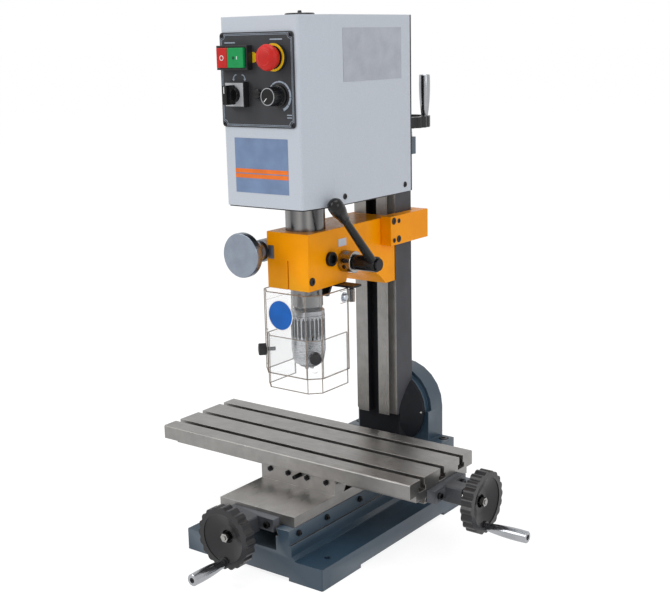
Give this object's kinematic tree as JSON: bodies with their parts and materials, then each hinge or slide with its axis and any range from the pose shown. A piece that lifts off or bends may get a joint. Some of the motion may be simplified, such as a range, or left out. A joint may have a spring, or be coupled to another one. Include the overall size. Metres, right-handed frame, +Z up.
{
  "type": "drill milling machine",
  "caption": "Bench drill milling machine with T-slot cross table, tilting column, sliding head, drill chuck, clear guard, feed lever and handwheels.",
  "frame": {"origin": "on the bench, under the middle of the table's depth and the machine's middle plane", "axes": "+X to the operator's right along the table, +Y back from the operator, +Z up"},
  "size_m": [0.5164, 0.4819, 0.6625],
  "materials": {
    "base_paint": "semi-gloss dark blue-grey enamel",
    "ground_steel": "ground, satin",
    "bright_steel": "polished",
    "cast_orange": "gloss orange enamel",
    "dark_plastic": "satin black",
    "black_oxide": "black oxide",
    "bronze": "machined",
    "cover_paint": "fine-textured light blue-grey powder coat",
    "panel_black": "matt charcoal",
    "button_green": "satin green",
    "button_red": "satin red",
    "knob_alloy": "satin",
    "clear_plastic": "clear acrylic",
    "belt_rubber": "matt"
  },
  "bodies": {
    "base": {"base_casting": "base_paint", "tilt_upright": "base_paint", "y_gib": "ground_steel", "y_feed_nut": "bronze"},
    "saddle_body": {"saddle": "ground_steel", "x_gib": "ground_steel", "x_feed_nut": "bronze", "y_bracket": "base_paint"},
    "y_feed": {"y_feed_screw": "bright_steel", "y_dial": "bright_steel", "y_handwheel": "dark_plastic"},
    "y_handle_body": {"y_handle": "bright_steel"},
    "table_body": {"table": "ground_steel", "x_bracket": "base_paint"},
    "x_feed": {"x_feed_screw": "bright_steel", "x_dial": "bright_steel", "x_handwheel": "dark_plastic"},
    "x_handle_body": {"x_handle": "bright_steel"},
    "column_body": {"column": "ground_steel", "tilt_bolt": "black_oxide", "tilt_nut": "black_oxide", "z_bearing": "base_paint"},
    "z_feed": {"z_feed_screw": "bright_steel", "z_dial": "bright_steel", "z_handwheel": "dark_plastic"},
    "z_handle_body": {"z_handle": "bright_steel"},
    "head_body": {"head_bracket": "cast_orange", "z_nut_arm": "cast_orange", "z_feed_nut": "bronze", "worm_housing": "cover_paint", "pinion_bush": "bright_steel", "guard_bracket": "black_oxide"},
    "lever_body": {"pinion_shaft": "ground_steel", "feed_lever": "dark_plastic", "lever_grip": "dark_plastic"},
    "fine_feed_body": {"fine_feed_knob": "knob_alloy"},
    "quill_body": {"quill_sleeve": "bright_steel", "head_plate": "black_oxide", "head_cover": "cover_paint", "cover_back": "black_oxide", "access_cap": "dark_plastic", "motor": "dark_plastic", "drive_belt": "belt_rubber", "control_panel": "panel_black"},
    "motor_rotor": {"motor_pulley": "ground_steel"},
    "spindle_body": {"spindle": "ground_steel", "drill_chuck": "ground_steel"},
    "chuck_sleeve_body": {"chuck_sleeve": "ground_steel"},
    "jaw_body_1": {"chuck_jaw_1": "bright_steel"},
    "jaw_body_2": {"chuck_jaw_2": "bright_steel"},
    "jaw_body_3": {"chuck_jaw_3": "bright_steel"},
    "start_body": {"start_button": "button_green"},
    "stop_body": {"stop_button": "button_red"},
    "emergency_body": {"emergency_stop": "button_red"},
    "selector_body": {"direction_selector": "dark_plastic"},
    "speed_body": {"speed_knob": "dark_plastic"},
    "guard_body": {"guard_outer": "clear_plastic"},
    "inner_guard_body": {"guard_inner": "clear_plastic"},
    "guard_screw_body_left": {"guard_screw_left": "dark_plastic"},
    "guard_screw_body_right": {"guard_screw_right": "dark_plastic"}
  },
  "joints": [
    {"name": "saddle_slide", "type": "slide", "parent": "base", "child": "saddle_body", "axis": [0, 1, 0], "range_m": [-0.08, 0.02]},
    {"name": "y_wheel_turn", "type": "hinge", "parent": "saddle_body", "child": "y_feed", "pos_m": [0, -0.1801, 0.0587], "axis": [0, 1, 0], "range_deg": [-14400, 3600]},
    {"name": "y_handle_turn", "type": "hinge", "parent": "y_feed", "child": "y_handle_body", "pos_m": [0, -0.208, 0.0277], "axis": [0, 1, 0], "continuous": true},
    {"name": "table_slide", "type": "slide", "parent": "saddle_body", "child": "table_body", "axis": [1, 0, 0], "range_m": [-0.084, 0.136]},
    {"name": "x_wheel_turn", "type": "hinge", "parent": "table_body", "child": "x_feed", "pos_m": [0.2086, 0, 0.0868], "axis": [1, 0, 0], "range_deg": [-15120, 24480]},
    {"name": "x_handle_turn", "type": "hinge", "parent": "x_feed", "child": "x_handle_body", "pos_m": [0.2365, 0, 0.0558], "axis": [1, 0, 0], "continuous": true},
    {"name": "column_tilt", "type": "hinge", "parent": "base", "child": "column_body", "pos_m": [0, 0.152, 0.126], "axis": [0, 1, 0], "range_deg": [-45, 45]},
    {"name": "z_wheel_turn", "type": "hinge", "parent": "column_body", "child": "z_feed", "pos_m": [0, 0.1815, 0.498], "axis": [0, 0, -1], "range_deg": [-8100, 11700]},
    {"name": "z_handle_turn", "type": "hinge", "parent": "z_feed", "child": "z_handle_body", "pos_m": [0.0248, 0.2001, 0.5259], "axis": [0, 0, 1], "continuous": true},
    {"name": "head_slide", "type": "slide", "parent": "column_body", "child": "head_body", "axis": [0, 0, 1], "range_m": [-0.045, 0.065]},
    {"name": "feed_lever_turn", "type": "hinge", "parent": "head_body", "child": "lever_body", "pos_m": [0, 0, 0.36], "axis": [1, 0, 0], "range_deg": [0, 143.3]},
    {"name": "fine_feed_turn", "type": "hinge", "parent": "head_body", "child": "fine_feed_body", "pos_m": [-0.042, 0, 0.377], "axis": [0, 1, 0], "range_deg": [0, 3438]},
    {"name": "quill_slide", "type": "slide", "parent": "head_body", "child": "quill_body", "axis": [0, 0, 1], "range_m": [-0.03, 0]},
    {"name": "spindle_turn", "type": "hinge", "parent": "quill_body", "child": "spindle_body", "pos_m": [0, -0.0345, 0.3063], "axis": [0, 0, 1], "continuous": true},
    {"name": "motor_turn", "type": "hinge", "parent": "quill_body", "child": "motor_rotor", "pos_m": [0, 0.05, 0.449], "axis": [0, 0, 1], "continuous": true},
    {"name": "chuck_sleeve_turn", "type": "hinge", "parent": "spindle_body", "child": "chuck_sleeve_body", "pos_m": [0, -0.0345, 0.234], "axis": [0, 0, 1], "range_deg": [0, 1081]},
    {"name": "jaw_slide_1", "type": "slide", "parent": "spindle_body", "child": "jaw_body_1", "axis": [-0.1462, 0.1227, 0.9816], "range_m": [0, 0.02]},
    {"name": "jaw_slide_2", "type": "slide", "parent": "spindle_body", "child": "jaw_body_2", "axis": [-0.0331, -0.1879, 0.9816], "range_m": [0, 0.02]},
    {"name": "jaw_slide_3", "type": "slide", "parent": "spindle_body", "child": "jaw_body_3", "axis": [0.1793, 0.0653, 0.9816], "range_m": [0, 0.02]},
    {"name": "start_press", "type": "slide", "parent": "quill_body", "child": "start_body", "axis": [0, 1, 0], "range_m": [0, 0.002], "stiffness_N_per_m": 600},
    {"name": "stop_press", "type": "slide", "parent": "quill_body", "child": "stop_body", "axis": [0, 1, 0], "range_m": [0, 0.002], "stiffness_N_per_m": 600},
    {"name": "emergency_press", "type": "slide", "parent": "quill_body", "child": "emergency_body", "axis": [0, 1, 0], "range_m": [0, 0.003]},
    {"name": "selector_turn", "type": "hinge", "parent": "quill_body", "child": "selector_body", "pos_m": [-0.0295, -0.1227, 0.5687], "axis": [0, 1, 0], "range_deg": [-60, 60]},
    {"name": "speed_turn", "type": "hinge", "parent": "quill_body", "child": "speed_body", "pos_m": [0.0293, -0.1132, 0.5673], "axis": [0, 1, 0], "range_deg": [0, 270]},
    {"name": "guard_hinge", "type": "hinge", "parent": "head_body", "child": "guard_body", "pos_m": [0.0495, -0.009, 0.329], "axis": [0, 0, 1], "range_deg": [0, 100]},
    {"name": "guard_slide", "type": "slide", "parent": "guard_body", "child": "inner_guard_body", "axis": [0, 0, 1], "range_m": [0, 0.02]},
    {"name": "guard_screw_turn_left", "type": "hinge", "parent": "inner_guard_body", "child": "guard_screw_body_left", "pos_m": [-0.0378, -0.0711, 0.253], "axis": [-0.7071, -0.7071, 0], "range_deg": [0, 720]},
    {"name": "guard_screw_turn_right", "type": "hinge", "parent": "inner_guard_body", "child": "guard_screw_body_right", "pos_m": [0.0378, -0.0711, 0.253], "axis": [0.7071, -0.7071, 0], "range_deg": [0, 720]}
  ],
  "couplings": [
    {"joint": "y_wheel_turn", "follows": "saddle_slide", "rad_per_m": 3141.6},
    {"joint": "x_wheel_turn", "follows": "table_slide", "rad_per_m": 3141.6},
    {"joint": "z_wheel_turn", "follows": "head_slide", "rad_per_m": 3141.6},
    {"joint": "feed_lever_turn", "follows": "quill_slide", "rad_per_m": -83.333},
    {"joint": "fine_feed_turn", "follows": "quill_slide", "rad_per_m": -2000},
    {"joint": "motor_turn", "follows": "spindle_turn", "ratio": 2.695},
    {"joint": "chuck_sleeve_turn", "follows": "jaw_slide_1", "rad_per_m": 942.48},
    {"joint": "jaw_slide_2", "follows": "jaw_slide_1", "ratio": 1},
    {"joint": "jaw_slide_3", "follows": "jaw_slide_1", "ratio": 1}
  ]
}
